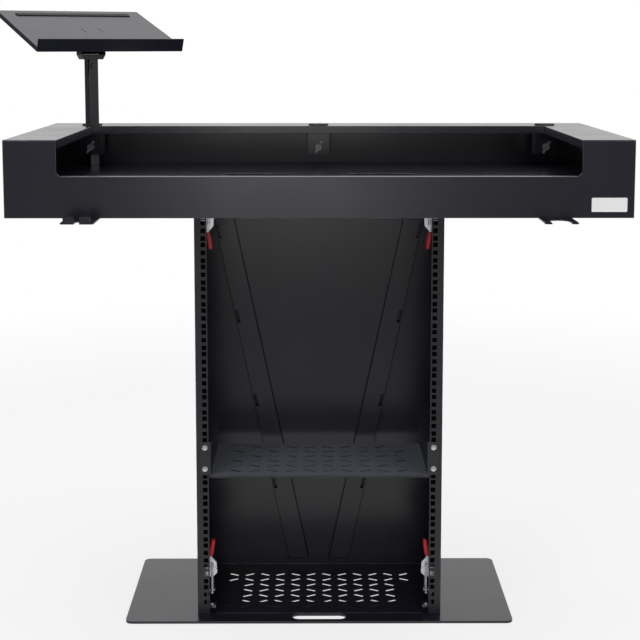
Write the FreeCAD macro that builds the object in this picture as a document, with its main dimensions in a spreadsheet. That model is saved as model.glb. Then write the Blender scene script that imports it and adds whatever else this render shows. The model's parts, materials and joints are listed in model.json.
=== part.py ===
import FreeCAD, Part
import Sketcher
import math
import os

os.makedirs("parts", exist_ok=True)
DOC = FreeCAD.newDocument("dj_booth")
SHEET = DOC.addObject("Spreadsheet::Sheet", "Sizes")
X_AXIS = FreeCAD.Vector(1, 0, 0)
Y_AXIS = FreeCAD.Vector(0, 1, 0)
Z_AXIS = FreeCAD.Vector(0, 0, 1)


# A length that keeps its number and the cell formula it came from
class Size:
    def __init__(self, value, text):
        self.value = float(value)
        self.text = text

    @staticmethod
    def of(item):
        return item if isinstance(item, Size) else Size(item, f"{float(item):.6f}")

    def __add__(self, other):
        other = Size.of(other)
        return Size(self.value + other.value, f"({self.text} + {other.text})")

    def __radd__(self, other):
        return Size.of(other) + self

    def __sub__(self, other):
        other = Size.of(other)
        return Size(self.value - other.value, f"({self.text} - {other.text})")

    def __rsub__(self, other):
        return Size.of(other) - self

    def __mul__(self, other):
        other = Size.of(other)
        return Size(self.value * other.value, f"({self.text} * {other.text})")

    __rmul__ = __mul__

    def __truediv__(self, other):
        other = Size.of(other)
        return Size(self.value / other.value, f"({self.text} / {other.text})")

    def __neg__(self):
        return Size(-self.value, f"(-1 * {self.text})")


ROWS = []
TOUCH = 1e-6


def cell(name, value):
    """One named cell of the sheet."""
    ROWS.append(name)
    row = len(ROWS)
    SHEET.set(f"A{row}", name)
    SHEET.set(f"B{row}", str(value))
    SHEET.setAlias(f"B{row}", name)
    return Size(value, f"Sizes.{name}")


# Base plate
base_width = cell("base_width", 790)
base_depth = cell("base_depth", 365)
base_thick = cell("base_thick", 5)
base_corner = cell("base_corner", 14)
base_window_width = cell("base_window_width", 410)
base_window_front = cell("base_window_front", 77)
base_window_rear = cell("base_window_rear", 100)
base_rib = cell("base_rib", 12)
grip_slot_length = cell("grip_slot_length", 110)
grip_slot_width = cell("grip_slot_width", 28)
grip_slot_setback = cell("grip_slot_setback", 25.5)
vent_pitch_across = cell("vent_pitch_across", 33.8)
vent_pitch_deep = cell("vent_pitch_deep", 31)
vent_length = cell("vent_length", 22)
vent_width = cell("vent_width", 7.5)

# Column
column_width = cell("column_width", 500)
column_depth = cell("column_depth", 285)
side_sheet = cell("side_sheet", 2)
panel_flange = cell("panel_flange", 40)
brace_foot = cell("brace_foot", 17)
brace_lean = cell("brace_lean", 0.211)
brace_width = cell("brace_width", 45)
brace_depth = cell("brace_depth", 10)
brace_margin = cell("brace_margin", 20)

# Rack
rack_units = cell("rack_units", 19)
rack_unit = cell("rack_unit", 44.45)
rack_bottom = cell("rack_bottom", 23.6)
rack_hole_span = cell("rack_hole_span", 465.1)
rack_hole = cell("rack_hole", 9.5)
ear_hole = cell("ear_hole", 7)
rack_opening = cell("rack_opening", 450)
rail_leg = cell("rail_leg", 24)
rail_sheet = cell("rail_sheet", 2)
shelf_unit = cell("shelf_unit", 6)
shelf_ear = cell("shelf_ear", 67)
shelf_panel = cell("shelf_panel", 482.6)
shelf_depth = cell("shelf_depth", 234.5)
shelf_sheet = cell("shelf_sheet", 2)
shelf_rim = cell("shelf_rim", 9)
shelf_vent_scale = cell("shelf_vent_scale", 1.13)

# Console
console_width = cell("console_width", 1200)
console_depth = cell("console_depth", 590)
console_height = cell("console_height", 149)
console_bottom = cell("console_bottom", 842)
front_overhang = cell("front_overhang", 130)
cheek_width = cell("cheek_width", 101)
hood_depth = cell("hood_depth", 120)
fascia_height = cell("fascia_height", 79.5)
fascia_lip = cell("fascia_lip", 16)
fascia_corner = cell("fascia_corner", 7)
well_depth = cell("well_depth", 19.5)
console_skin = cell("console_skin", 2)
console_return = cell("console_return", 20)
hood_lip = cell("hood_lip", 15)
port_length = cell("port_length", 140)
port_width = cell("port_width", 40)
port_offset = cell("port_offset", 130)

# Equipment stand
socket_side = cell("socket_side", 505)
socket_setback = cell("socket_setback", 85)
socket_bore = cell("socket_bore", 38.2)
socket_block = cell("socket_block", 48)
socket_length = cell("socket_length", 62)
bush_flange = cell("bush_flange", 44)
bush_rim = cell("bush_rim", 3.5)
mast_side = cell("mast_side", 24)
mast_wall = cell("mast_wall", 2)
mast_corner = cell("mast_corner", 2.5)
mast_top = cell("mast_top", 1137)
yoke_width = cell("yoke_width", 58)
tilt_height = cell("tilt_height", 34)
tray_width = cell("tray_width", 340)
tray_depth = cell("tray_depth", 250)
tray_rise = cell("tray_rise", 29)
tray_shift = cell("tray_shift", 15)
tray_sheet = cell("tray_sheet", 2)
tray_stop = cell("tray_stop", 18)
tray_skirt = cell("tray_skirt", 9)
tray_yaw = cell("tray_yaw", 32)
tray_pitch = cell("tray_pitch", 18.8)

# Small hardware, each drawn on a grid of its own unit
knob_unit = cell("knob_unit", 1)
clamp_unit = cell("clamp_unit", 0.9)
clamp_setback = cell("clamp_setback", 47.5)
catch_clear = cell("catch_clear", 3.6)
holder_width = cell("holder_width", 63)
holder_reach = cell("holder_reach", 75)
holder_offset = cell("holder_offset", 450.5)
holder_sheet = cell("holder_sheet", 2.5)
holder_notch = cell("holder_notch", 37)
fit_gap = cell("fit_gap", 0.3)
sleeve_gap = cell("sleeve_gap", 0.5)

# Places worked out from the sizes
SHELF_LIFT = 9
half_base = base_width / 2
half_column = column_width / 2
wall_face = half_column - side_sheet
column_front = -column_depth / 2
column_rear = column_depth / 2
half_console = console_width / 2
cheek_edge = half_console - cheek_width
console_front_y = column_front - front_overhang
console_rear_y = console_front_y + console_depth
hood_edge = console_rear_y - hood_depth
console_top_z = console_bottom + console_height
lip_z = console_bottom + fascia_height
floor_z = lip_z - well_depth
column_top = floor_z - console_skin
socket_y = console_rear_y - socket_setback
skin_z = console_top_z - console_skin
shelf_base = rack_bottom + rack_unit * shelf_unit
shelf_floor = shelf_base + SHELF_LIFT
PIN_SIDES = 12
NODES = []


def state_of(item):
    """Stop on anything that could not be built."""
    if any(word in ("Invalid", "Error") for word in item.State):
        raise RuntimeError(f"{item.Name} could not be built: {item.State}")
    return item


def body(label):
    """An empty part, listed for export."""
    made = DOC.addObject("PartDesign::Body", label)
    made.Label = label
    NODES.append(made)
    return made


def sketch(owner, role, offset):
    """A sketch on one of the part's own planes, moved along that plane's normal."""
    made = owner.newObject("Sketcher::SketchObject", f"{owner.Name}_sketch")
    support = next(item for item in owner.Origin.OriginFeatures if item.Role == role)
    made.AttachmentSupport = [(support, "")]
    made.MapMode = "FlatFace"
    made.setExpression("AttachmentOffset.Base.z", Size.of(offset).text)
    return made


def hold(drawing, kind, curve, point, length):
    """Tie one point of a curve to the sheet, measured from the sketch's origin."""
    length = Size.of(length)
    index = drawing.addConstraint(Sketcher.Constraint(kind, -1, 1, curve, point, length.value))
    drawing.setExpression(f"Constraints[{index}]", length.text)


def chain(drawing, first, count):
    """Join the ends of the curves from first on into a loop."""
    for step in range(count):
        following = first + (step + 1) % count
        drawing.addConstraint(Sketcher.Constraint("Coincident", first + step, 2, following, 1))


def poly(points):
    """A straight-sided loop."""
    def draw(drawing):
        pairs = [(Size.of(x), Size.of(y)) for x, y in points]
        spots = [FreeCAD.Vector(x.value, y.value) for x, y in pairs]
        first = drawing.GeometryCount
        count = len(spots)
        for step in range(count):
            drawing.addGeometry(Part.LineSegment(spots[step], spots[(step + 1) % count]))
        chain(drawing, first, count)
        for step, (x, y) in enumerate(pairs):
            hold(drawing, "DistanceX", first + step, 1, x)
            hold(drawing, "DistanceY", first + step, 1, y)
    return draw


def box(left, right, low, high):
    """A rectangle between two pairs of sides."""
    return poly([(left, low), (right, low), (right, high), (left, high)])


def rounded(left, right, low, high, radius):
    """A rectangle with round corners; a slot where the radius is half its height."""
    def draw(drawing):
        x0, x1, y0, y1, r = (Size.of(item) for item in (left, right, low, high, radius))
        slot = abs(y1.value - y0.value - 2 * r.value) < TOUCH
        middle = (y0 + y1) / 2
        sides = [((x0 + r, y0), (x1 - r, y0)), ((x1, y0 + r), (x1, y1 - r)),
                 ((x1 - r, y1), (x0 + r, y1)), ((x0, y1 - r), (x0, y0 + r))]
        centres = [(x1 - r, y0 + r), (x1 - r, y1 - r), (x0 + r, y1 - r), (x0 + r, y0 + r)]
        turns = [(-90, 0), (0, 90), (90, 180), (180, 270)]
        if slot:
            sides = [sides[0], sides[2]]
            centres = [(x1 - r, middle), (x0 + r, middle)]
            turns = [(-90, 90), (90, 270)]
        first = drawing.GeometryCount
        for (start, end), (cx, cy), (a, b) in zip(sides, centres, turns):
            drawing.addGeometry(Part.LineSegment(FreeCAD.Vector(start[0].value, start[1].value),
                                                 FreeCAD.Vector(end[0].value, end[1].value)))
            ring = Part.Circle(FreeCAD.Vector(cx.value, cy.value), Z_AXIS, r.value)
            drawing.addGeometry(Part.ArcOfCircle(ring, math.radians(a), math.radians(b)))
        chain(drawing, first, 2 * len(sides))
        for step, (start, end) in enumerate(sides):
            for point, spot in ((1, start), (2, end)):
                hold(drawing, "DistanceX", first + 2 * step, point, spot[0])
                hold(drawing, "DistanceY", first + 2 * step, point, spot[1])
            hold(drawing, "DistanceX", first + 2 * step + 1, 3, centres[step][0])
    return draw


def regular(sides, radius, x=0, y=0):
    """A loop of equal sides, flat side down."""
    spots = []
    for step in range(sides):
        angle = 2 * math.pi * (step + 0.5) / sides - math.pi / 2
        spots.append((x + radius * math.cos(angle), y + radius * math.sin(angle)))
    return poly(spots)


def pin(x, y, radius):
    """The outline of a small pin, with its corners on the radius."""
    return regular(PIN_SIDES, radius, x, y)


def eye(x, y, radius):
    """The outline of a small hole, with its flats on the radius."""
    return regular(PIN_SIDES, radius / math.cos(math.pi / PIN_SIDES), x, y)


def circle(x, y, radius):
    """A full circle."""
    def draw(drawing):
        size = Size.of(radius)
        spot = FreeCAD.Vector(Size.of(x).value, Size.of(y).value)
        index = drawing.addGeometry(Part.Circle(spot, Z_AXIS, size.value))
        hold(drawing, "DistanceX", index, 3, x)
        hold(drawing, "DistanceY", index, 3, y)
        rim = drawing.addConstraint(Sketcher.Constraint("Radius", index, size.value))
        drawing.setExpression(f"Constraints[{rim}]", size.text)
    return draw


PLANES = {"x": "YZ_Plane", "y": "XZ_Plane", "z": "XY_Plane"}


def drawn(owner, axis, level, loops):
    """A sketch square to an axis, at a level along it."""
    drawing = sketch(owner, PLANES[axis], -Size.of(level) if axis == "y" else level)
    for loop in loops:
        loop(drawing)
    return drawing


def pad(owner, axis, low, high, *loops):
    """Solid between two levels of an axis."""
    drawing = drawn(owner, axis, high if axis == "y" else low, loops)
    made = owner.newObject("PartDesign::Pad", f"{owner.Name}_pad")
    made.Profile = drawing
    made.setExpression("Length", (Size.of(high) - low).text)
    DOC.recompute()
    return state_of(made)


def cut(owner, axis, low, high, *loops):
    """Material taken away between two levels of an axis."""
    before = owner.Shape.Volume
    drawing = drawn(owner, axis, low if axis == "y" else high, loops)
    made = owner.newObject("PartDesign::Pocket", f"{owner.Name}_cut")
    made.Profile = drawing
    made.setExpression("Length", (Size.of(high) - low).text)
    DOC.recompute()
    state_of(made)
    if made.Shape.Volume >= before:
        raise RuntimeError(f"{made.Name} took nothing away")
    return made


def chamfered(owner, size, half):
    """Cut corners on both outlines of a piece that lies evenly either side of its middle plane."""
    base = owner.Tip
    names = []
    for number, edge in enumerate(base.Shape.Edges):
        if all(abs(abs(vertex.Y) - half.value) < TOUCH for vertex in edge.Vertexes):
            if edge.BoundBox.YLength < TOUCH:
                names.append(f"Edge{number + 1}")
    made = owner.newObject("PartDesign::Chamfer", f"{owner.Name}_bevel")
    made.Base = (base, names)
    made.setExpression("Size", size.text)
    DOC.recompute()
    return state_of(made)


def repeat(owner, feature, axis_name, length, count):
    """Copies of a cut in a straight row."""
    made = owner.newObject("PartDesign::LinearPattern", f"{owner.Name}_row")
    made.Originals = [feature]
    made.Direction = (feature.Profile[0], [axis_name])
    made.setExpression("Length", Size.of(length).text)
    made.setExpression("Occurrences", Size.of(count).text)
    owner.Tip = made
    DOC.recompute()
    return state_of(made)


def place(item, x, y, z, rotation=None):
    """Put a part at a point given in sizes."""
    item.Placement = FreeCAD.Placement(FreeCAD.Vector(0, 0, 0), rotation or FreeCAD.Rotation())
    for letter, length in zip("xyz", (x, y, z)):
        item.setExpression(f"Placement.Base.{letter}", Size.of(length).text)
    return item


def group(label, members):
    """Like pieces that share one node."""
    made = DOC.addObject("Part::Compound", label)
    made.Label = label
    made.Links = members
    for member in members:
        if member in NODES:
            NODES.remove(member)
    NODES.append(made)
    return made


VENT_LEAN = math.radians(30)


def slot_at(x, y, direction, scale=1):
    """One slanted vent slot."""
    along, aside = math.cos(VENT_LEAN), direction * math.sin(VENT_LEAN)
    corners = []
    for a, b in ((-1, -1), (1, -1), (1, 1), (-1, 1)):
        run = vent_length * scale * (a / 2)
        rise = vent_width * scale * (b / 2)
        corners.append((x + run * along - rise * aside, y + run * aside + rise * along))
    return poly(corners)


VENT_COLUMNS = 10


def herringbone(owner, low, high, rows, first_y, first_lean, scale=1):
    """Rows of slots that lean left and right by turns, made two columns at a time."""
    across = vent_pitch_across * scale
    slots = []
    for column in range(2):
        for row in range(rows):
            x = across * (column - (VENT_COLUMNS - 1) / 2)
            y = first_y + vent_pitch_deep * scale * row
            slots.append(slot_at(x, y, -first_lean if (column + row) % 2 else first_lean, scale))
    feature = cut(owner, "z", low, high, *slots)
    pairs = VENT_COLUMNS // 2
    return repeat(owner, feature, "H_Axis", across * (2 * (pairs - 1)), pairs)


def span(first, second):
    """Two levels in rising order."""
    return sorted((Size.of(first), Size.of(second)), key=lambda item: item.value)


# Base plate with hand-hold, and two windows below the column either side of a rib
plate = body("base_plate")
half_depth = base_depth / 2
pad(plate, "z", 0, base_thick, rounded(-half_base, half_base, -half_depth, half_depth, base_corner))
slot_y = grip_slot_setback - half_depth
slot_half = grip_slot_width / 2
cut(plate, "z", 0, base_thick, rounded(-grip_slot_length / 2, grip_slot_length / 2,
                                       slot_y - slot_half, slot_y + slot_half, slot_half))
windows = []
for side in (-1, 1):
    left, right = span(side * base_rib / 2, side * base_window_width / 2)
    windows.append(box(left, right, -base_window_front, base_window_rear))
cut(plate, "z", 0, base_thick, *windows)

# Vented floor sheet of the column, clear of the catches, with more vents in the corners that they leave free
CATCH_REACH = 36
FLOOR_VENT_ROWS = 7
FLOOR_VENTS_FRONT = -3.5
CORNER_VENTS = ((FLOOR_VENTS_FRONT, 1), (1.5, -1), (2.5, 1))
vented = body("column_floor")
floor_top = base_thick + side_sheet
vented_half = wall_face - CATCH_REACH * clamp_unit - catch_clear
flange_front = column_rear - side_sheet - panel_flange
pad(vented, "z", base_thick, floor_top, box(-vented_half, vented_half, column_front, flange_front - fit_gap))
herringbone(vented, base_thick, floor_top, FLOOR_VENT_ROWS, FLOOR_VENTS_FRONT * vent_pitch_deep, 1)
corner_slots = []
for side in (-1, 1):
    corner_x = side * vent_pitch_across * ((VENT_COLUMNS + 1) / 2)
    for row, lean in CORNER_VENTS:
        corner_slots.append(slot_at(corner_x, vent_pitch_deep * row, side * lean))
cut(vented, "z", base_thick, floor_top, *corner_slots)

# Column sides and rack rails, with three square holes in every rack unit
RACK_STEPS = (1 / 7, 1 / 2, 6 / 7)
half_hole = rack_hole / 2
for side, name in ((-1, "left"), (1, "right")):
    panel = body(f"column_side_{name}")
    inner, outer = span(side * wall_face, side * half_column)
    pad(panel, "z", base_thick, column_top, box(inner, outer, column_front, column_rear))
    rail = body(f"rack_rail_{name}")
    lip = side * rack_opening / 2
    wall = side * wall_face
    back = side * (wall_face - rail_sheet)
    corner = column_front + rail_sheet
    end = column_front + rail_leg
    pad(rail, "z", base_thick, column_top, poly([(lip, column_front), (wall, column_front), (wall, end),
                                                 (back, end), (back, corner), (lip, corner)]))
    hole_x = side * rack_hole_span / 2
    holes = []
    for step in RACK_STEPS:
        hole_z = rack_bottom + rack_unit * step
        holes.append(box(hole_x - half_hole, hole_x + half_hole, hole_z - half_hole, hole_z + half_hole))
    feature = cut(rail, "y", column_front, corner, *holes)
    repeat(rail, feature, "V_Axis", rack_unit * (rack_units - 1), rack_units)

# Audience panel, one sheet with a flange along its foot and its top
panel_in = column_rear - side_sheet
flange_y = panel_in - panel_flange
low_flange = base_thick + side_sheet
high_flange = column_top - side_sheet
audience = body("audience_panel")
pad(audience, "x", -wall_face, wall_face, poly([
    (flange_y, base_thick), (column_rear, base_thick), (column_rear, column_top), (flange_y, column_top),
    (flange_y, high_flange), (panel_in, high_flange), (panel_in, low_flange), (flange_y, low_flange)]))

# Diagonal braces inside it, folded channels with tie slots along their outer edge
BRACE_TIES = (0.19, 0.41, 0.63, 0.85)
TIE_LENGTH = 0.55
TIE_FAR = 8
TIE_NEAR = 4
brace_face = panel_in - brace_depth
brace_low = base_thick + brace_margin
brace_high = column_top - brace_margin


def strip(side, low, high, start, end):
    """A leaning strip between two heights and two lines of the brace."""
    corners = []
    for height, across in ((low, start), (low, end), (high, end), (high, start)):
        corners.append((side * (brace_foot + brace_lean * height + across), height))
    return poly(corners)


for side, name in ((-1, "left"), (1, "right")):
    brace = body(f"diagonal_brace_{name}")
    pad(brace, "y", brace_face, panel_in, strip(side, brace_low, brace_high, 0, brace_width))
    cut(brace, "y", brace_face + side_sheet, panel_in,
        strip(side, brace_low + side_sheet, brace_high - side_sheet, side_sheet, brace_width - side_sheet))
    ties = []
    for share in BRACE_TIES:
        low = brace_low + share * (brace_high - brace_low)
        ties.append(strip(side, low, low + brace_width * TIE_LENGTH, brace_width - TIE_FAR,
                          brace_width - TIE_NEAR))
    cut(brace, "y", brace_face, brace_face + side_sheet, *ties)

# Angle bar across the top of the column, behind the rails
BAR_DROP = 0.75
bar = body("column_top_bar")
bar_end = wall_face - rail_sheet
bar_front = column_front + rail_sheet
bar_low = column_top - panel_flange * BAR_DROP
bar_back = bar_front + rail_leg
pad(bar, "x", -bar_end, bar_end, poly([
    (bar_front, column_top), (bar_front, bar_low), (bar_front + side_sheet, bar_low),
    (bar_front + side_sheet, high_flange), (bar_back, high_flange), (bar_back, column_top)]))

# Console floor with turned-down rim and two cable ports
in_x = half_console - console_skin
in_front = console_front_y + console_skin
in_rear = console_rear_y - console_skin
rim_x = in_x - console_skin
floor = body("console_floor")
pad(floor, "z", column_top, floor_z, box(-in_x, in_x, in_front, in_rear))
pad(floor, "z", column_top - console_return, column_top, box(-in_x, in_x, in_front, in_rear),
    box(-rim_x, rim_x, in_front + console_skin, in_rear - console_skin))
half_port = port_width / 2
for side in (-1, 1):
    port_x = side * port_offset
    cut(floor, "z", column_top, floor_z, rounded(port_x - port_length / 2, port_x + port_length / 2,
                                                 -half_port, half_port, half_port))

# Console front, one sheet with the wide cut-out, its lip and its foot return
front = body("console_front")
lip_end = cheek_edge - fascia_corner
outline = []
for side in (-1, 1):
    half_outline = [(side * half_console, console_bottom), (side * half_console, skin_z),
                    (side * cheek_edge, skin_z), (side * cheek_edge, lip_z + fascia_corner),
                    (side * lip_end, lip_z)]
    outline += half_outline if side < 0 else half_outline[::-1]
pad(front, "y", console_front_y, in_front, poly(outline))
pad(front, "z", lip_z - console_skin, lip_z, box(-lip_end, lip_end, in_front, in_front + fascia_lip))
foot_z = console_bottom + console_skin
pad(front, "z", console_bottom, foot_z, box(-in_x, in_x, in_front, in_front + console_return))

# Console rear and sides, each with a foot return
rear = body("console_rear")
pad(rear, "y", in_rear, console_rear_y, box(-half_console, half_console, console_bottom, skin_z))
pad(rear, "z", console_bottom, foot_z, box(-in_x, in_x, in_rear - console_return, in_rear))
for side, name in ((-1, "left"), (1, "right")):
    cheek = body(f"console_side_{name}")
    inner, outer = span(side * in_x, side * half_console)
    pad(cheek, "x", inner, outer, box(in_front, in_rear, console_bottom, skin_z))
    near, far = span(side * in_x, side * (in_x - console_return))
    pad(cheek, "z", console_bottom, foot_z, box(near, far, in_front + console_return,
                                                in_rear - console_return))

# Console top, the cheeks and hood in one skin with turned-down inner edges and three stand holes
SOCKETS = ((-1, "left"), (0, "mid"), (1, "right"))
bore_radius = socket_bore / 2
lip_out = cheek_edge + console_skin
lip_back = hood_edge + console_skin
top = body("console_top")
pad(top, "z", skin_z, console_top_z, poly([
    (-half_console, console_front_y), (-cheek_edge, console_front_y), (-cheek_edge, hood_edge),
    (cheek_edge, hood_edge), (cheek_edge, console_front_y), (half_console, console_front_y),
    (half_console, console_rear_y), (-half_console, console_rear_y)]))
pad(top, "z", skin_z - hood_lip, skin_z, poly([
    (-lip_out, in_front), (-cheek_edge, in_front), (-cheek_edge, hood_edge), (cheek_edge, hood_edge),
    (cheek_edge, in_front), (lip_out, in_front), (lip_out, lip_back), (-lip_out, lip_back)]))
stand_holes = [circle(side * socket_side, socket_y, bore_radius) for side, name in SOCKETS]
cut(top, "z", skin_z, console_top_z, *stand_holes)

# Wing knob, drawn on its unit with its axis upright and the face it turns against at height zero
WING = [(6, 3), (14, 9), (15.5, 13), (14, 18), (10, 18.5), (6, 13)]
WING_HALF = 2.2
HUB_SIDES = 12
HUB_RADIUS = 7.5
HUB_HEIGHT = 14
STEM_RADIUS = 3
BOLT_RADIUS = 4
BOLT_TAIL = 12
BORE_SPARE = 0.5


def wing_knob(label):
    """The hub and two wings that every lock knob has."""
    knob = body(label)
    pad(knob, "z", fit_gap, HUB_HEIGHT * knob_unit, regular(HUB_SIDES, HUB_RADIUS * knob_unit))
    half = WING_HALF * knob_unit
    for side in (-1, 1):
        pad(knob, "y", -half, half, poly([(side * x * knob_unit, z * knob_unit) for x, z in WING]))
    return knob


# Stand sockets below the hood, square blocks with a lock knob in front, and plugs for the spare ones
KNOB_DROP = 45
KNOB_ROLL = 60
PLUG_STEM = 22
SLEEVE_SIDES = 12
socket_half = socket_block / 2
stem_radius = STEM_RADIUS * knob_unit
sleeve_radius = bore_radius - sleeve_gap
flange_radius = bush_flange / 2
knob_turn = FreeCAD.Rotation(X_AXIS, 90).multiply(FreeCAD.Rotation(Z_AXIS, KNOB_ROLL))
sockets = []
for side, name in SOCKETS:
    socket_x = side * socket_side
    socket = body(f"stand_socket_{name}")
    pad(socket, "z", -socket_length, 0, box(-socket_half, socket_half, -socket_half, socket_half),
        circle(0, 0, bore_radius))
    cut(socket, "y", -socket_half, -bore_radius / 2, eye(0, -KNOB_DROP, stem_radius + fit_gap))
    place(socket, socket_x, socket_y, skin_z)
    sockets.append(socket)
    knob = wing_knob(f"socket_knob_{name}")
    pad(knob, "z", bore_radius + fit_gap - socket_half, fit_gap, pin(0, 0, stem_radius))
    place(knob, socket_x, socket_y - socket_half, skin_z - KNOB_DROP, knob_turn)
    if side >= 0:
        plug = body(f"socket_plug_{name}")
        pad(plug, "z", 0, bush_rim, circle(0, 0, flange_radius))
        pad(plug, "z", -PLUG_STEM, 0, regular(SLEEVE_SIDES, sleeve_radius))
        place(plug, socket_x, socket_y, console_top_z)
group("stand_sockets", sockets)

# Stand bush, round outside and square inside, and the square mast with its lock button near the top
MAST_LIFT = 0.3
BUTTON_SIDES = 8
BUTTON_RADIUS = 6
BUTTON_RISE = 3
BUTTON_DROP = 14
stand_x = -socket_side
mast_half = mast_side / 2
mast_inner = mast_half - mast_wall
guide_half = mast_half + fit_gap
bush = body("stand_bush")
pad(bush, "z", 0, bush_rim, circle(0, 0, flange_radius))
pad(bush, "z", -socket_length, 0, regular(SLEEVE_SIDES, sleeve_radius))
cut(bush, "z", -socket_length, bush_rim,
    rounded(-guide_half, guide_half, -guide_half, guide_half, mast_corner))
mast_foot = floor_z + MAST_LIFT
mast_length = mast_top - mast_foot
yaw = FreeCAD.Rotation(Z_AXIS, tray_yaw.value)
place(bush, stand_x, socket_y, console_top_z, yaw)
mast = body("stand_mast")
pad(mast, "z", 0, mast_length, rounded(-mast_half, mast_half, -mast_half, mast_half, mast_corner),
    box(-mast_inner, mast_inner, -mast_inner, mast_inner))
pad(mast, "y", -mast_half - BUTTON_RISE, mast_wall / 2 - mast_half,
    regular(BUTTON_SIDES, BUTTON_RADIUS, 0, mast_length - BUTTON_DROP))
place(mast, stand_x, socket_y, mast_foot, yaw)

# Yoke on top of the mast, a plate that widens upwards with two ears that narrow to the tilt bolt
YOKE_PLATE = 10.5
YOKE_SHEET = 4
YOKE_HALF = 14
YOKE_TAPER = 6
SHOULDER_HALF = 12
SHOULDER_RISE = 4
CROWN_HALF = 6
CROWN_RISE = 10
ear_out = yoke_width / 2
ear_in = ear_out - YOKE_SHEET
bolt_hole = BOLT_RADIUS + fit_gap
shoulder_z = tilt_height + SHOULDER_RISE
crown_z = tilt_height + CROWN_RISE
yoke = body("stand_yoke")
yoke_foot = ear_out - YOKE_TAPER
pad(yoke, "y", -YOKE_HALF, YOKE_HALF, poly([
    (-yoke_foot, 0), (yoke_foot, 0), (ear_out, YOKE_PLATE), (-ear_out, YOKE_PLATE)]))
for low, high in ((-ear_out, -ear_in), (ear_in, ear_out)):
    pad(yoke, "x", low, high, poly([
        (-YOKE_HALF, YOKE_PLATE), (YOKE_HALF, YOKE_PLATE), (SHOULDER_HALF, shoulder_z), (CROWN_HALF, crown_z),
        (-CROWN_HALF, crown_z), (-SHOULDER_HALF, shoulder_z)]))
cut(yoke, "x", -ear_out, ear_out, eye(0, tilt_height, bolt_hole))
place(yoke, stand_x, socket_y, mast_top, yaw)

# Tilt bolt with a hexagon head, and its wing knob
BOLT_HEAD = 9
BOLT_HEAD_HEIGHT = 7
tilt_z = mast_top + tilt_height
bolt = body("tilt_bolt")
pad(bolt, "x", -ear_out - BOLT_TAIL, ear_out, pin(0, 0, BOLT_RADIUS))
pad(bolt, "x", ear_out, ear_out + BOLT_HEAD_HEIGHT, regular(6, BOLT_HEAD))
place(bolt, stand_x, socket_y, tilt_z, yaw)
tilt_knob = wing_knob("tilt_knob")
cut(tilt_knob, "z", fit_gap, BOLT_TAIL + BORE_SPARE, eye(0, 0, bolt_hole))
aside = yaw.multVec(X_AXIS)
point_out = yaw.multiply(FreeCAD.Rotation(Y_AXIS, -90))
place(tilt_knob, stand_x - ear_out * aside.x, socket_y - ear_out * aside.y, tilt_z, point_out)

# Hinge block below the tray
BLOCK_SPARE = 0.2
BLOCK_OUTLINE = [(-15, -11), (-9, -21), (9, -21), (15, -11)]
BLOCK_TOP_HALF = 15
pose = yaw.multiply(FreeCAD.Rotation(X_AXIS, tray_pitch.value))
block_half = ear_in - BLOCK_SPARE
block = body("tray_block")
pad(block, "x", -block_half, block_half,
    poly(BLOCK_OUTLINE + [(BLOCK_TOP_HALF, tray_rise), (-BLOCK_TOP_HALF, tray_rise)]))
cut(block, "x", -block_half, block_half, eye(0, 0, bolt_hole))
place(block, stand_x, socket_y, tilt_z, pose)

# Tray, a sheet with a turned-down rim and a stop along its front edge
half_tray = tray_width / 2
tray_front = tray_shift - tray_depth / 2
tray_back = tray_shift + tray_depth / 2
tray_face = tray_rise + tray_sheet
stop_back = tray_front + tray_sheet
rim_half = half_tray - tray_sheet
tray = body("stand_tray")
pad(tray, "z", tray_rise, tray_face, box(-half_tray, half_tray, tray_front, tray_back))
pad(tray, "z", tray_rise - tray_skirt, tray_rise, box(-half_tray, half_tray, tray_front, tray_back),
    box(-rim_half, rim_half, stop_back, tray_back - tray_sheet))
pad(tray, "z", tray_face, tray_face + tray_stop, box(-half_tray, half_tray, tray_front, stop_back))
place(tray, stand_x, socket_y, tilt_z, pose)

# Rubber strips on the tray
STRIP_HEIGHT = 2
STRIP_HALF = 7
STRIP_LENGTH = 0.8
STRIP_PLACES = (-0.34, 0.38)
strips = []
for share in STRIP_PLACES:
    rubber = body("tray_pad")
    middle = tray_shift + tray_depth * share
    reach = half_tray * STRIP_LENGTH
    pad(rubber, "z", tray_face, tray_face + STRIP_HEIGHT,
        box(-reach, reach, middle - STRIP_HALF, middle + STRIP_HALF))
    place(rubber, stand_x, socket_y, tilt_z, pose)
    strips.append(rubber)
group("tray_pads", strips)

# Hook and slotted holder under the front edge
HOLDER_CORNER = 5
HOOK_LIP = 12
HOOK_INSET = 6
SLIT_HALF = 5
SLIT_DEEP = 30
NOTCH_DEEP = 0.72
OVERRUN = 1
holder_low = console_bottom - holder_sheet
holder_tip = console_front_y - holder_reach
holder_root = in_front + console_return
half_holder = holder_width / 2
for side, label in ((-1, "side_hook"), (1, "slotted_holder")):
    middle = side * holder_offset
    edge_left = middle - half_holder
    edge_right = middle + half_holder
    holder = body(label)
    pad(holder, "z", holder_low, console_bottom,
        rounded(edge_left, edge_right, holder_tip, holder_root, HOLDER_CORNER))
    if side < 0:
        hook_top = console_bottom + HOOK_LIP
        pad(holder, "z", console_bottom, hook_top,
            box(edge_left + HOOK_INSET, edge_right - HOOK_INSET, holder_tip, holder_tip + holder_sheet))
        cut(holder, "z", holder_low, hook_top,
            box(middle - SLIT_HALF, middle + SLIT_HALF, holder_tip - OVERRUN, holder_tip + SLIT_DEEP))
    else:
        notch = holder_notch / 2
        notch_y = holder_tip + holder_reach * NOTCH_DEEP - notch
        cut(holder, "z", holder_low, console_bottom,
            box(middle - notch, middle + notch, holder_tip - OVERRUN, notch_y))
        cut(holder, "z", holder_low, console_bottom, circle(middle, notch_y, notch))

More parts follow.
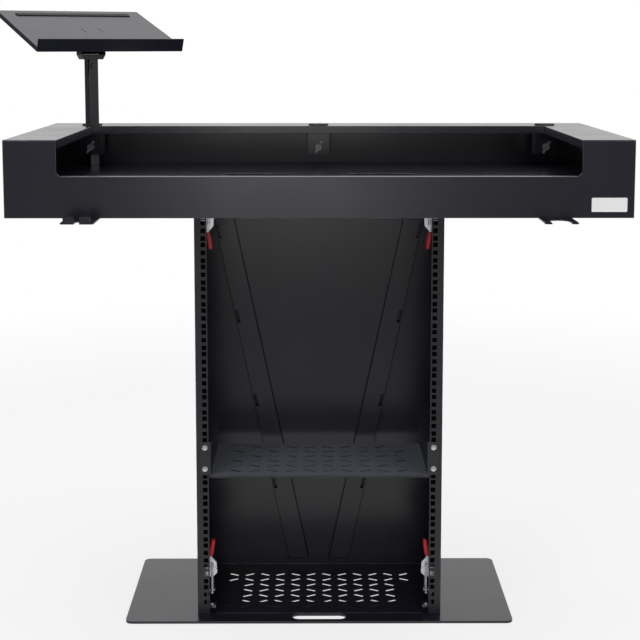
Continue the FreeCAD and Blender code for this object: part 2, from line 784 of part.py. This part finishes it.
# Vented shelf, folded from one sheet with ears on the rails
SHELF_SPARE = 2
EAR_LIFT = 10
NOSE_DROP = 3
VENTS_BACK = 0.505
SHELF_VENT_ROWS = 6
EAR_STEPS = (0.5, 1.5)
SLOT_LONG = 0.75
shelf_out = rack_opening / 2 - SHELF_SPARE
shelf_in = shelf_out - shelf_sheet
ear_front = column_front - shelf_sheet
shelf_rear = column_front + shelf_depth
shelf_under = shelf_floor - shelf_sheet
rim_top = shelf_floor + shelf_rim
ear_low = shelf_base + EAR_LIFT
ear_high = ear_low + shelf_ear
shelf = body("vented_shelf")
pad(shelf, "z", shelf_under, shelf_floor, box(-shelf_out, shelf_out, ear_front, shelf_rear))
for side in (-1, 1):
    low, high = span(side * shelf_in, side * shelf_out)
    pad(shelf, "x", low, high, poly([
        (ear_front, shelf_floor), (shelf_rear, shelf_floor), (shelf_rear, rim_top),
        (column_front, ear_high), (ear_front, ear_high)]))
    low, high = span(side * shelf_out, side * shelf_panel / 2)
    pad(shelf, "y", ear_front, column_front, box(low, high, ear_low, ear_high))
pad(shelf, "y", ear_front, column_front, box(-shelf_out, shelf_out, shelf_under - NOSE_DROP, shelf_under))
ear_holes = []
for side in (-1, 1):
    for step in EAR_STEPS:
        hole_x = side * rack_hole_span / 2
        hole_z = shelf_base + rack_unit * step
        ear_holes.append(box(hole_x - ear_hole * SLOT_LONG, hole_x + ear_hole * SLOT_LONG,
                             hole_z - ear_hole / 2, hole_z + ear_hole / 2))
cut(shelf, "y", ear_front, column_front, *ear_holes)
shelf_vents = (column_front + shelf_depth * VENTS_BACK
               - vent_pitch_deep * shelf_vent_scale * ((SHELF_VENT_ROWS - 1) / 2))
herringbone(shelf, shelf_under, shelf_floor, SHELF_VENT_ROWS, shelf_vents, -1, shelf_vent_scale)

# Toggle clamps, drawn on their unit: wall at zero, the pull upright, the lever pivot on PIVOT
PIVOT = 30
PIN_RADIUS = 3
LINK_AT = (28.05, 13.86)
LINK_PIN = 2.3
LINK_RADIUS = 2.7
LINK_HALF = 12.6
LINK_REACH = 50
LINK_SIDES = 8
CLAMP_FOOT = 85
FOOT_THICK = 2.5
EARS_OUT = 7.4
EARS_IN = 5.4
LEVER_HALF = 5
SLEEVE_HALF = 5.1
GRIP_HALF = 8
GRIP_BEVEL = 2.4
CATCH_HALF = 9.2
FOOT = [(-12, -20), (-8, -24), (8, -24), (12, -20), (12, 12), (8, 16), (-8, 16), (-12, 12)]
EAR = [(2.5, -16), (2.5, 8), (25, 9), (34, 9), (39, 4), (39, -5), (30, -14)]
EAR_SPACE = [(2.5, -20), (48, -20), (48, 20), (2.5, 20)]
LEVER = [(24, -7), (36, -7), (39, 0), (38, 20), (27.4, 32), (31.4, 60), (26.4, 60), (22.4, 32), (22.2, 20),
         (22, 0)]
GRIP = [(20.7, 34), (29.7, 34), (32.2, 45), (34.3, 60), (34.8, 70), (34, 73), (27.6, 73), (25.8, 70),
        (23.5, 60), (21.4, 45)]
SLEEVE = [(22.3, 32), (27.5, 32), (31.55, 60.2), (26.3, 60.2)]
CATCH = [(14, -85), (CATCH_REACH, -85), (CATCH_REACH, -82), (17, -82), (17, -47), (34, -47), (34, -44),
         (14, -44)]
CLAMPS = (("lower_left", -1, -1, FreeCAD.Rotation()),
          ("lower_right", 1, -1, FreeCAD.Rotation(Z_AXIS, 180)),
          ("upper_left", -1, 1, FreeCAD.Rotation(X_AXIS, 180)),
          ("upper_right", 1, 1, FreeCAD.Rotation(Y_AXIS, 180)))
clamp_levels = {-1: base_thick + CLAMP_FOOT * clamp_unit, 1: column_top - CLAMP_FOOT * clamp_unit}


def scaled(points):
    """A clamp outline in true size."""
    return poly([(x * clamp_unit, z * clamp_unit) for x, z in points])


def flat(owner, half, loop):
    """Solid of even thickness either side of the clamp's middle plane."""
    pad(owner, "y", -half * clamp_unit, half * clamp_unit, loop)


def through(owner, half, loop):
    """A cut of even width either side of the clamp's middle plane."""
    cut(owner, "y", -half * clamp_unit, half * clamp_unit, loop)


pivot_x = PIVOT * clamp_unit
link_x, link_z = [spot * clamp_unit for spot in LINK_AT]
pin_radius = PIN_RADIUS * clamp_unit
link_pin = LINK_PIN * clamp_unit
wire = LINK_RADIUS * clamp_unit
brackets = []
catches = {-1: [], 1: []}
for name, side, level, rotation in CLAMPS:
    bracket = body(f"clamp_bracket_{name}")
    pad(bracket, "x", 0, FOOT_THICK * clamp_unit, scaled(FOOT))
    flat(bracket, EARS_OUT, scaled(EAR))
    through(bracket, EARS_IN, scaled(EAR_SPACE))
    flat(bracket, EARS_IN, pin(pivot_x, 0, pin_radius))
    lever = body(f"clamp_lever_{name}")
    flat(lever, LEVER_HALF, scaled(LEVER))
    through(lever, LEVER_HALF, eye(pivot_x, 0, pin_radius + fit_gap))
    through(lever, LEVER_HALF, eye(link_x, link_z, link_pin + fit_gap))
    grip = body(f"clamp_grip_{name}")
    flat(grip, GRIP_HALF, scaled(GRIP))
    chamfered(grip, GRIP_BEVEL * clamp_unit, GRIP_HALF * clamp_unit)
    through(grip, SLEEVE_HALF, scaled(SLEEVE))
    link = body(f"clamp_hook_{name}")
    for hand in (-1, 1):
        leg = regular(LINK_SIDES, wire, link_x, hand * LINK_HALF * clamp_unit)
        pad(link, "z", -LINK_REACH * clamp_unit, link_z + wire, leg)
        if hand < 0:
            flat(link, LINK_HALF, pin(link_x, link_z, link_pin))
            flat(link, LINK_HALF + LINK_RADIUS, regular(LINK_SIDES, wire, link_x, -LINK_REACH * clamp_unit))
    catch = body(f"clamp_catch_{name}")
    flat(catch, CATCH_HALF, scaled(CATCH))
    for piece in (bracket, lever, grip, link, catch):
        place(piece, side * wall_face, column_front + clamp_setback, clamp_levels[level], rotation)
    brackets.append(bracket)
    catches[level].append(catch)
group("clamp_brackets", brackets)
group("base_catches", catches[-1])
group("console_catches", catches[1])

# Check every piece and write it out
DOC.recompute()
for item in DOC.Objects:
    state_of(item)
for node in NODES:
    if node.Shape.isNull() or not node.Shape.isValid():
        raise RuntimeError(f"{node.Label} has no sound shape")
    node.Shape.exportStep(f"parts/{node.Label}.step")
print(len(NODES), "parts written")
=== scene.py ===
import bpy
import bmesh
import json
import math
from mathutils import Matrix, Vector


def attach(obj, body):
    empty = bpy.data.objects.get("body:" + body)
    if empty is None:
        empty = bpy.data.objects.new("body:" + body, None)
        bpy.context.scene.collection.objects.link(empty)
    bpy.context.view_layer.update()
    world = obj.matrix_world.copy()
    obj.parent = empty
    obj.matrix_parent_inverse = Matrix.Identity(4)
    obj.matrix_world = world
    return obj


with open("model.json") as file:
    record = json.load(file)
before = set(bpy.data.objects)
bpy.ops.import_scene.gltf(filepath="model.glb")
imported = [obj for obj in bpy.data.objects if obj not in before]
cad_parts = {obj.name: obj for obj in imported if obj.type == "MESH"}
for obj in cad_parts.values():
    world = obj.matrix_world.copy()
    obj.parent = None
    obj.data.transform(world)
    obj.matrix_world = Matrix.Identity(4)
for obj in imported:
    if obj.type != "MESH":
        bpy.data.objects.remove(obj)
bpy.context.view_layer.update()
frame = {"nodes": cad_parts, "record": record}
nodes = frame["nodes"]
scene = bpy.context.scene
scene.view_settings.view_transform = "Standard"
MM = 0.001

# Camera
SENSOR_WIDTH = 36
LENS = 82
LENS_SHIFT = -0.15
CAMERA_SPOT = (-0.0114, -3.028, 1.1738)
CAMERA_PITCH = math.radians(82.91)
CAMERA_YAW = math.radians(-0.259)
camera_data = bpy.data.cameras.new("camera")
camera_data.sensor_width = SENSOR_WIDTH
camera_data.lens = LENS
camera_data.shift_y = LENS_SHIFT
camera = bpy.data.objects.new("camera", camera_data)
camera.location = CAMERA_SPOT
camera.rotation_euler = (CAMERA_PITCH, 0, CAMERA_YAW)
scene.collection.objects.link(camera)
scene.camera = camera


class Graph:
    """The node graph of a material or a world, with short ways to add to it."""

    def __init__(self, owner):
        owner.use_nodes = True
        self.tree = owner.node_tree
        self.shader = self.tree.nodes.get("Principled BSDF")
        self.coordinates = self.tree.nodes.new("ShaderNodeTexCoord")

    def add(self, kind, **inputs):
        """A node with some of its inputs set."""
        made = self.tree.nodes.new(kind)
        for name, value in inputs.items():
            made.inputs[name].default_value = value
        return made

    def join(self, source, target):
        self.tree.links.new(source, target)

    def feed(self, name, source):
        """Join a socket to an input of the shader."""
        self.join(source, self.shader.inputs[name])

    def noise(self, scale, detail, stretch=(1, 1, 1)):
        """Noise over the metres of a piece at rest, from 0 to 1."""
        mapping = self.add("ShaderNodeMapping", Scale=stretch)
        made = self.add("ShaderNodeTexNoise", Scale=scale, Detail=detail)
        self.join(self.coordinates.outputs["Object"], mapping.inputs["Vector"])
        self.join(mapping.outputs["Vector"], made.inputs["Vector"])
        return made.outputs[0]

    def spread(self, source, low, high, new_low, new_high, shape="LINEAR"):
        """A value stretched from one range to another."""
        made = self.tree.nodes.new("ShaderNodeMapRange")
        made.interpolation_type = shape
        for socket, value in zip(made.inputs[1:5], (low, high, new_low, new_high)):
            socket.default_value = value
        self.join(source, made.inputs["Value"])
        return made.outputs[0]

    def part(self, source, axis):
        """The X, Y or Z of a coordinate."""
        made = self.tree.nodes.new("ShaderNodeSeparateXYZ")
        self.join(self.coordinates.outputs[source], made.inputs[0])
        return made.outputs[axis]

    def reckon(self, operation, *sources):
        """A sum worked on one or two values."""
        made = self.tree.nodes.new("ShaderNodeMath")
        made.operation = operation
        for source, socket in zip(sources, made.inputs):
            self.join(source, socket)
        return made.outputs[0]

    def measure(self, operation, other=(0, 0, 0)):
        """A sum worked on a place in metres and another vector."""
        made = self.tree.nodes.new("ShaderNodeVectorMath")
        made.operation = operation
        made.inputs[1].default_value = other
        self.join(self.coordinates.outputs["Object"], made.inputs[0])
        return made.outputs["Value"]

    def rays(self, *kinds):
        """1 for the kinds of ray that are named, or else 0."""
        path = self.tree.nodes.new("ShaderNodeLightPath")
        found = path.outputs[kinds[0]]
        for kind in kinds[1:]:
            found = self.reckon("MAXIMUM", found, path.outputs[kind])
        return found

    def blend(self, factor, first, second):
        """Two colours mixed by a value; either may be a socket."""
        made = self.tree.nodes.new("ShaderNodeMix")
        made.data_type = "RGBA"
        self.join(factor, made.inputs["Factor"])
        for socket, colour in zip(made.inputs[6:8], (first, second)):
            if isinstance(colour, tuple):
                socket.default_value = (*colour, 1)
            else:
                self.join(colour, socket)
        return made.outputs[2]

    def mix(self, *sources):
        """Two shaders mixed by a value, which comes first."""
        made = self.tree.nodes.new("ShaderNodeMixShader")
        for source, socket in zip(sources, made.inputs):
            self.join(source, socket)
        return made.outputs[0]

    def bump(self, height, strength, distance):
        made = self.add("ShaderNodeBump", Strength=strength, Distance=distance)
        self.join(height, made.inputs["Height"])
        self.feed("Normal", made.outputs["Normal"])


# Noise of a coat as scale and detail, and the ranges that its values are taken from
TONE_NOISE = (14, 4)
# Noise and range of the edge colour, which is edge wear with a painted highlight
EDGE_WEAR_AND_LIGHT_NOISE = (45, 3)
EDGE_WEAR_AND_LIGHT_RANGE = (0.4, 0.62, 0.1, 1)
GLOSS_NOISE = (7, 4)
NOISE_RANGE = (0.3, 0.7)
# Up-facing normals that take the painted top highlight
PAINTED_TOP_RANGE = (0.6, 0.95, 0, 1)
GRAIN_DETAIL = 2
GRAIN_DEPTH = 0.0002


def coating(name, dark, light, edge_wear_and_light, roughness, grain, strength, metallic=0.0, painted_top_light=None):
    """A finish with cloudy tone and gloss and fine grain, and the same taken to the edge colour for edges:
    edge wear with a painted highlight, and painted shade where that colour is darker.

    Faces that look up take the top colour, if there is one, as a painted highlight of the light falling
    from above.
    """
    pair = []
    for label, worn_and_lit_edge in ((name, False), (f"{name}_edge", True)):
        made = bpy.data.materials.new(label)
        graph = Graph(made)
        graph.shader.inputs["Metallic"].default_value = metallic
        tone = graph.blend(graph.noise(*TONE_NOISE), dark, light)
        # Up-facing faces lightened towards the top colour: a painted highlight of light from above
        if painted_top_light:
            tone = graph.blend(graph.spread(graph.part("Normal", "Z"), *PAINTED_TOP_RANGE), tone, painted_top_light)
        # Edges taken to the edge colour: edge wear with a painted highlight, and painted shade on the
        # braces, whose edge colour is darker
        if worn_and_lit_edge:
            tone = graph.blend(graph.spread(graph.noise(*EDGE_WEAR_AND_LIGHT_NOISE), *EDGE_WEAR_AND_LIGHT_RANGE), tone, edge_wear_and_light)
        graph.feed("Base Color", tone)
        graph.feed("Roughness", graph.spread(graph.noise(*GLOSS_NOISE), *NOISE_RANGE, *roughness))
        graph.bump(graph.noise(grain, GRAIN_DETAIL), strength, GRAIN_DEPTH)
        pair.append(made)
    return pair


# Finishes of the record's material slots
BLACK_TONES = ((0.0052, 0.0058, 0.0118), (0.0074, 0.0080, 0.0152))
SLOTS = {
    "black_coat": coating(
        "black_coat", *BLACK_TONES, edge_wear_and_light=(0.045, 0.046, 0.053),
        roughness=(0.225, 0.275), grain=1100, strength=0.10),
    "black_plastic": coating(
        "black_plastic", (0.012, 0.012, 0.013), (0.018, 0.018, 0.02), edge_wear_and_light=(0.04, 0.04, 0.042),
        roughness=(0.42, 0.52), grain=2200, strength=0.18),
    "red_vinyl": coating(
        "red_vinyl", (0.40, 0.008, 0.016), (0.50, 0.014, 0.024), edge_wear_and_light=(0.55, 0.04, 0.05),
        roughness=(0.30, 0.42), grain=700, strength=0.12),
    "grey_knob": coating(
        "grey_knob", (0.10, 0.102, 0.108), (0.14, 0.142, 0.15), edge_wear_and_light=(0.30, 0.30, 0.31),
        roughness=(0.40, 0.55), grain=1600, strength=0.20, metallic=0.35),
    "zinc": coating(
        "zinc", (0.56, 0.58, 0.61), (0.70, 0.71, 0.72), edge_wear_and_light=(0.80, 0.80, 0.80),
        roughness=(0.20, 0.36), grain=900, strength=0.08, metallic=1.0),
    "rubber": coating(
        "rubber", (0.010, 0.010, 0.010), (0.017, 0.017, 0.017), edge_wear_and_light=(0.03, 0.03, 0.03),
        roughness=(0.62, 0.78), grain=1500, strength=0.1)}
zinc = SLOTS["zinc"][0]
black = SLOTS["black_plastic"][0]
rubber = SLOTS["rubber"][0]

# The black coat as it looks on some nodes: with a painted highlight on top of the shelf and along the lip
# of the front, duller on the rails and the column sides, and with painted shade as a dark edge on the
# braces
OWN = {
    # The shelf's light top colour is a painted highlight of light from above, and its pale edge colour is
    # edge wear with a painted highlight
    "vented_shelf": coating(
        "shelf_coat", (0.0075, 0.008, 0.0105), (0.0105, 0.011, 0.0145), edge_wear_and_light=(0.11, 0.113, 0.125),
        roughness=(0.36, 0.46), grain=1100, strength=0.14, painted_top_light=(0.120, 0.131, 0.158)),
    "column_side": coating(
        "side_coat", (0.0042, 0.0046, 0.0085), (0.006, 0.0065, 0.0115), edge_wear_and_light=(0.04, 0.041, 0.047),
        roughness=(0.3, 0.36), grain=700, strength=0.05),
    # The front's paler edge colour and lighter lip top are a painted highlight along the lip and its
    # corners
    "console_front": coating(
        "front_coat", *BLACK_TONES, edge_wear_and_light=(0.06, 0.061, 0.066),
        roughness=(0.225, 0.275), grain=1100, strength=0.10, painted_top_light=(0.15, 0.152, 0.16)),
    # The braces' near-black edge colour is painted shade along their channel walls
    "diagonal_brace": coating(
        "brace_coat", *BLACK_TONES, edge_wear_and_light=(0.001, 0.001, 0.0015),
        roughness=(0.24, 0.29), grain=700, strength=0.05),
    "rack_rail": coating(
        "rail_coat", (0.0066, 0.0071, 0.0112), (0.0092, 0.0097, 0.0146), edge_wear_and_light=(0.045, 0.046, 0.052),
        roughness=(0.34, 0.44), grain=1100, strength=0.10)}

# Gloss of the finishes that have less than the usual 0.5
GLOSS = {"rail_coat": 0.46, "rail_coat_edge": 0.46, "brace_coat_edge": 0.05}
for name, level in GLOSS.items():
    shader = bpy.data.materials[name].node_tree.nodes["Principled BSDF"]
    shader.inputs["Specular IOR Level"].default_value = level

# The column sides have no gloss on their inner faces
SIDE_GLOSS = 0.42
INNER_FACE = 0.2485
OUTER_FACE = 0.2495
sides = Graph(OWN["column_side"][0])
outwards = sides.reckon("ABSOLUTE", sides.part("Object", "X"))
sides.feed("Specular IOR Level", sides.spread(outwards, INNER_FACE, OUTER_FACE, 0, SIDE_GLOSS))

# Ribbed rubber: ribs run along the tray, so they follow its cross direction
TRAY_YAW = math.radians(32)
TRAY_PITCH = math.radians(18.8)
RIB_PITCH = 0.0028
RIB_STRENGTH = 0.6
RIB_DEPTH = 0.0006
tray_turn = Matrix.Rotation(TRAY_YAW, 4, "Z") @ Matrix.Rotation(TRAY_PITCH, 4, "X")
rib_waves = Vector((0, 2 * math.pi / RIB_PITCH, 0, 0))
ribs = Graph(rubber)
across = ribs.measure("DOT_PRODUCT", (tray_turn @ rib_waves).xyz)
ribs.bump(ribs.reckon("SINE", across), RIB_STRENGTH, RIB_DEPTH)

# Brushed plate
STREAK_NOISE = (350, 5, (0.05, 1, 1))
PLATE_TONES = ((0.84, 0.845, 0.85), (0.93, 0.935, 0.94))
PLATE_ROUGHNESS = (0.28, 0.42)
PLATE_METALLIC = 0.2
STREAK_STRENGTH = 0.06
STREAK_DEPTH = 0.0001
brushed = bpy.data.materials.new("brushed_plate")
brush = Graph(brushed)
brush.shader.inputs["Metallic"].default_value = PLATE_METALLIC
streaks = brush.noise(*STREAK_NOISE)
brush.feed("Base Color", brush.blend(streaks, *PLATE_TONES))
brush.feed("Roughness", brush.spread(streaks, *NOISE_RANGE, *PLATE_ROUGHNESS))
brush.bump(streaks, STREAK_STRENGTH, STREAK_DEPTH)

# Finishes and softened edges of the CAD nodes, with the width in mm by how a node's name starts
EDGES = {
    "column_floor": 0.35, "vented_shelf": 0.35, "base_plate": 1.0, "clamp_grip": 1.6,
    "console_front": 1.8, "console": 0.9, "column_side": 0.8, "diagonal": 1.2,
    "audience": 0.8, "stand_tray": 0.7, "socket_knob": 0.7, "tilt_knob": 0.7}
USUAL_EDGE = 0.45
USUAL_STEPS = 2
WIDE_STEPS = 3
SHARP = math.radians(33)
WELD_REACH = 0.00001
EDGE_FINISH = 1


def by_start(table, name, usual):
    """The first value in a table whose key starts a name, or else the usual one."""
    return next((value for start, value in table.items() if name.startswith(start)), usual)


for part in frame["record"]["subparts"]:
    name = part["node"]
    item = nodes[name]
    item.data.materials.clear()
    for finish in by_start(OWN, name, SLOTS[part["material_slot"]]):
        item.data.materials.append(finish)
    width = by_start(EDGES, name, USUAL_EDGE)
    weld = item.modifiers.new("weld", "WELD")
    weld.merge_threshold = WELD_REACH
    bevel = item.modifiers.new("bevel", "BEVEL")
    bevel.width = width * MM
    bevel.segments = WIDE_STEPS if width > USUAL_EDGE else USUAL_STEPS
    bevel.limit_method = "ANGLE"
    bevel.angle_limit = SHARP
    bevel.harden_normals = True
    bevel.material = EDGE_FINISH


def skinned(name, rows):
    """A closed mesh through rows of points in mm, each row with as many points as the next."""
    skin = bmesh.new()
    rings = [[skin.verts.new(Vector(point) * MM) for point in row] for row in rows]
    for low, high in zip(rings, rings[1:]):
        for step in range(len(low)):
            after = (step + 1) % len(low)
            skin.faces.new((low[step], low[after], high[after], high[step]))
    skin.faces.new(rings[0][::-1])
    skin.faces.new(rings[-1])
    made = bpy.data.meshes.new(name)
    skin.to_mesh(made)
    skin.free()
    return made


# Small fasteners, each turned from rings of radius and height
AROUND = 48
TINY = 1e-6


def cross(length, width):
    """The outline of a cross recess, as a radius for each angle."""
    def radius(angle):
        cosine = abs(math.cos(angle)) + TINY
        sine = abs(math.sin(angle)) + TINY
        return max(min(length / cosine, width / sine), min(width / cosine, length / sine))
    return radius


def hexagon(flat):
    """The outline of a hexagon by half its width over the flats."""
    return lambda angle: flat / math.cos((angle + math.pi / 6) % (math.pi / 3) - math.pi / 6)


def turned(name, rings):
    """A mesh through rings of (radius in mm or outline, height in mm)."""
    rows = []
    for radius, height in rings:
        row = []
        for step in range(AROUND):
            angle = 2 * math.pi * step / AROUND
            reach = radius(angle) if callable(radius) else radius
            row.append((reach * math.cos(angle), reach * math.sin(angle), height))
        rows.append(row)
    made = skinned(name, rows)
    made.set_sharp_from_angle(angle=SHARP)
    for face in made.polygons:
        face.use_smooth = True
    return made


pan_screw = turned("pan_screw", [
    (5.6, 0), (5.6, 0.7), (5.3, 1.0), (4.5, 1.0), (4.5, 2.0), (4.0, 3.0), (2.9, 3.5),
    (cross(2.2, 0.65), 3.6), (cross(1.9, 0.5), 2.0)])
socket_screw = turned("socket_screw", [
    (4.4, 0), (4.4, 0.5), (4.1, 1.2), (3.2, 1.9), (hexagon(1.6), 2.0), (hexagon(1.5), 0.8)])
rivet = turned("rivet", [
    (2.0, 0), (2.0, 0.25), (1.75, 0.75), (1.1, 1.05), (0.7, 1.1), (0.5, 0.85)])
pin_head = turned("pin_head", [
    (4.3, 0), (4.3, 0.6), (3.8, 1.3), (2.4, 1.7), (1.0, 1.75), (0.7, 1.45)])
flat_screw = turned("flat_screw", [
    (3.9, 0), (3.9, 0.12), (3.7, 0.25), (hexagon(1.7), 0.25), (hexagon(1.5), 0.05)])
cage_nut = turned("cage_nut", [
    (hexagon(5.6), 0), (hexagon(6), 0.5), (hexagon(6), 4.4), (hexagon(5.6), 4.9),
    (3.2, 4.9), (2.9, 4.5), (2.9, 1.0)])


def fix(name, mesh, spot, facing, body="booth", finish=zinc):
    """Put a fastener on a surface, facing outwards, and let it ride."""
    item = bpy.data.objects.new(name, mesh)
    if not mesh.materials:
        mesh.materials.append(finish)
    turn = Vector(facing).to_track_quat("Z", "Y").to_matrix().to_4x4()
    item.matrix_world = Matrix.Translation(Vector(spot) * MM) @ turn
    scene.collection.objects.link(item)
    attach(item, body)


# Rack screws and nuts of the shelf
RACK_X = 232.55
EAR_FRONT = -144.5
RAIL_BACK = -140.5
RACK_Z = {"low": 312.525, "high": 356.975}
for side, hand in ((-1, "left"), (1, "right")):
    for level, height in RACK_Z.items():
        fix(f"shelf_screw_{hand}_{level}", pan_screw, (side * RACK_X, EAR_FRONT, height), (0, -1, 0))
        fix(f"shelf_nut_{hand}_{level}", cage_nut, (side * RACK_X, RAIL_BACK, height), (0, 1, 0))

# Rivets, pivot heads and catch screws of the clamps, each clamp by its side and level
CLAMPS = {"lower_left": (-1, -1), "lower_right": (1, -1), "upper_left": (-1, 1), "upper_right": (1, 1)}
WALL = 248
CLAMP_Y = -95
CLAMP_Z = {-1: 81.5, 1: 823.5}
CLAMP_UNIT = 0.9

# Where these sit on a clamp, in clamp units
FOOT_FACE = 2.5
RIVETS = ((-9.7, -14), (9.7, -14), (-9.7, 8), (9.7, 8))
PIVOT_X = 30
EAR_FACE = 7.4
CATCH_X = 26.5
CATCH_Z = -82


def on_clamp(side, level, x, y, z):
    """A place in mm from clamp units out of the wall, backwards, and from the pivot to the middle."""
    reach = WALL - x * CLAMP_UNIT
    height = CLAMP_Z[level] - level * z * CLAMP_UNIT
    return (side * reach, CLAMP_Y + y * CLAMP_UNIT, height)


for name, (side, level) in CLAMPS.items():
    for number, (y, z) in enumerate(RIVETS):
        spot = on_clamp(side, level, FOOT_FACE, y, z)
        fix(f"clamp_rivet_{name}_{number}", rivet, spot, (-side, 0, 0))
    for number, y in enumerate((-1, 1)):
        spot = on_clamp(side, level, PIVOT_X, y * EAR_FACE, 0)
        fix(f"clamp_pivot_{name}_{number}", pin_head, spot, (0, y, 0))
    spot = on_clamp(side, level, CATCH_X, 0, CATCH_Z)
    fix(f"catch_screw_{name}", socket_screw, spot, (0, 0, -level))

# Screws below the hook and the slotted holder
HOLDERS = {"side_hook": -450.5, "slotted_holder": 450.5}
HOLDER_SCREWS = (-18, 18)
HOLDER_Y = -260
HOLDER_UNDER = 839.5
for label, middle in HOLDERS.items():
    for number, step in enumerate(HOLDER_SCREWS):
        spot = (middle + step, HOLDER_Y, HOLDER_UNDER)
        fix(f"{label}_screw_{number}", socket_screw, spot, (0, 0, -1))

# Countersunk screws that hold the tray on its block
TILT_AXIS = Vector((-505, 232.5, 1171))
TRAY_SCREWS = ((-20, -8), (20, -8), (-20, 8), (20, 8))
TRAY_FLOOR = 31
up_tray = (tray_turn @ Vector((0, 0, 1, 0))).xyz
for number, (x, y) in enumerate(TRAY_SCREWS):
    spot = TILT_AXIS + (tray_turn @ Vector((x, y, TRAY_FLOOR, 0))).xyz
    fix(f"tray_screw_{number}", flat_screw, spot, up_tray, "stand_tray", black)

# Thin slabs with round corners, drawn in by (inset, rise) layers from their foot to their face
CORNER_STEPS = 6
QUARTERS = ((1, 1), (-1, 1), (-1, -1), (1, -1))


def slab(name, width, height, corner, layers, finish):
    """A slab on its own middle, rising along its own Z."""
    rows = []
    for inset, rise in layers:
        radius = max(corner - inset, corner / 4)
        row = []
        for quarter, (right, up) in enumerate(QUARTERS):
            x = (width / 2 - inset - radius) * right
            y = (height / 2 - inset - radius) * up
            for step in range(CORNER_STEPS + 1):
                angle = math.pi / 2 * (quarter + step / CORNER_STEPS)
                row.append((x + radius * math.cos(angle), y + radius * math.sin(angle), rise))
        rows.append(row)
    made = skinned(name, rows)
    made.materials.append(finish)
    item = bpy.data.objects.new(name, made)
    scene.collection.objects.link(item)
    return item


# Bare plate with a raised rim on the right cheek
PLATE_SPOT = Vector((552, -272.5, 867.5))
PLATE_SIZE = (68, 27, 2.4)
PLATE_LAYERS = ((0, 0), (0, 1.1), (0.5, 1.5), (1.6, 1.5), (2.0, 1.2))
bare_plate = slab("bare_plate", *PLATE_SIZE, PLATE_LAYERS, brushed)
bare_plate.matrix_world = Matrix.Translation(PLATE_SPOT * MM) @ Matrix.Rotation(math.pi / 2, 4, "X")
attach(bare_plate, "booth")

# Wear pad on the yoke, just below the hinge block
YOKE_TOP = Vector((-505, 232.5, 1147.5))
PAD_SIZE = (46, 24, 3)
PAD_LAYERS = ((0, 0), (0, 0.3), (0.2, 0.5))
wear_pad = slab("yoke_wear_pad", *PAD_SIZE, PAD_LAYERS, rubber)
wear_pad.matrix_world = Matrix.Translation(YOKE_TOP * MM) @ Matrix.Rotation(TRAY_YAW, 4, "Z")
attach(wear_pad, "stand_mast")

# Floor: white to the eye, with the shadow kept, fading out towards its rim
FLOOR_RADIUS = 2.8
FLOOR_SIDES = 96
FLOOR_SPOT = (0, 0.7, -0.0005)
FLOOR_WHOLE = 1.3
FLOOR_TONE = 0.86
FLOOR_ROUGHNESS = 0.9
FLOOR_GLOW = 0.72
floor_mesh = bpy.data.meshes.new("floor")
floor_skin = bmesh.new()
bmesh.ops.create_circle(floor_skin, cap_ends=True, segments=FLOOR_SIDES, radius=FLOOR_RADIUS)
floor_skin.to_mesh(floor_mesh)
floor_skin.free()
floor = bpy.data.objects.new("floor", floor_mesh)
floor.location = FLOOR_SPOT
scene.collection.objects.link(floor)
pale = bpy.data.materials.new("pale_floor")
ground = Graph(pale)
ground.shader.inputs["Base Color"].default_value = (FLOOR_TONE, FLOOR_TONE, FLOOR_TONE, 1)
ground.shader.inputs["Roughness"].default_value = FLOOR_ROUGHNESS
glow = ground.add("ShaderNodeEmission")
clear = ground.add("ShaderNodeBsdfTransparent")
seen = ground.rays("Is Camera Ray", "Is Glossy Ray", "Is Transmission Ray")
lit = ground.mix(ground.spread(seen, 0, 1, 0, FLOOR_GLOW), ground.shader.outputs[0], glow.outputs[0])
fade = ground.spread(ground.measure("LENGTH"), FLOOR_WHOLE, FLOOR_RADIUS, 0, 1)
faded = ground.mix(fade, lit, clear.outputs[0])
ground.join(faded, ground.tree.nodes["Material Output"].inputs["Surface"])
floor_mesh.materials.append(pale)

# Surroundings: white to the eye, plain to matt faces, and in reflections dimmer on the side
# that the front faces and far to the left
TONES = ((0.0, 1.0), (0.55, 1.0), (0.75, 0.8), (0.95, 0.22), (1.0, 0.42))
SHADE_FROM = -0.75
SHADE_TO = -0.4
SHADE = 0.12
PLAIN_LIGHT = 0.62
world = bpy.data.worlds.new("studio")
scene.world = world
sky = Graph(world)
ramp = sky.add("ShaderNodeValToRGB")
sky.join(sky.spread(sky.part("Generated", "Y"), 1, -1, 0, 1), ramp.inputs[0])
stops = ramp.color_ramp.elements
for position, _ in TONES[1:-1]:
    stops.new(position)
for stop, (_, tone) in zip(stops, TONES):
    stop.color = (tone, tone, tone, 1)
shaded = sky.spread(sky.part("Generated", "X"), SHADE_FROM, SHADE_TO, SHADE, 1, "SMOOTHSTEP")
dimmed = sky.blend(shaded, (0, 0, 0), ramp.outputs["Color"])
mirror_rays = sky.rays("Is Glossy Ray", "Is Transmission Ray")
mirrored = sky.blend(mirror_rays, (PLAIN_LIGHT, PLAIN_LIGHT, PLAIN_LIGHT), dimmed)
bright = sky.blend(sky.rays("Is Camera Ray"), mirrored, (1, 1, 1))
sky.join(bright, sky.tree.nodes["Background"].inputs["Color"])

# Soft lamps as name, place, size and power
LAMPS = (("key", (-1.9, -2.6, 2.9), 1.8, 34), ("fill", (2.2, -2.2, 2.2), 1.6, 16),
         ("top", (0, 0.4, 3.3), 2.4, 26), ("front", (-0.12, -3.5, 0.8), 0.8, 5))
LOOK_AT = Vector((0, 0, 0.7))
for name, spot, size, power in LAMPS:
    data = bpy.data.lights.new(name, "AREA")
    data.size = size
    data.energy = power
    lamp = bpy.data.objects.new(name, data)
    lamp.location = spot
    lamp.rotation_euler = (LOOK_AT - Vector(spot)).to_track_quat("-Z", "Y").to_euler()
    scene.collection.objects.link(lamp)
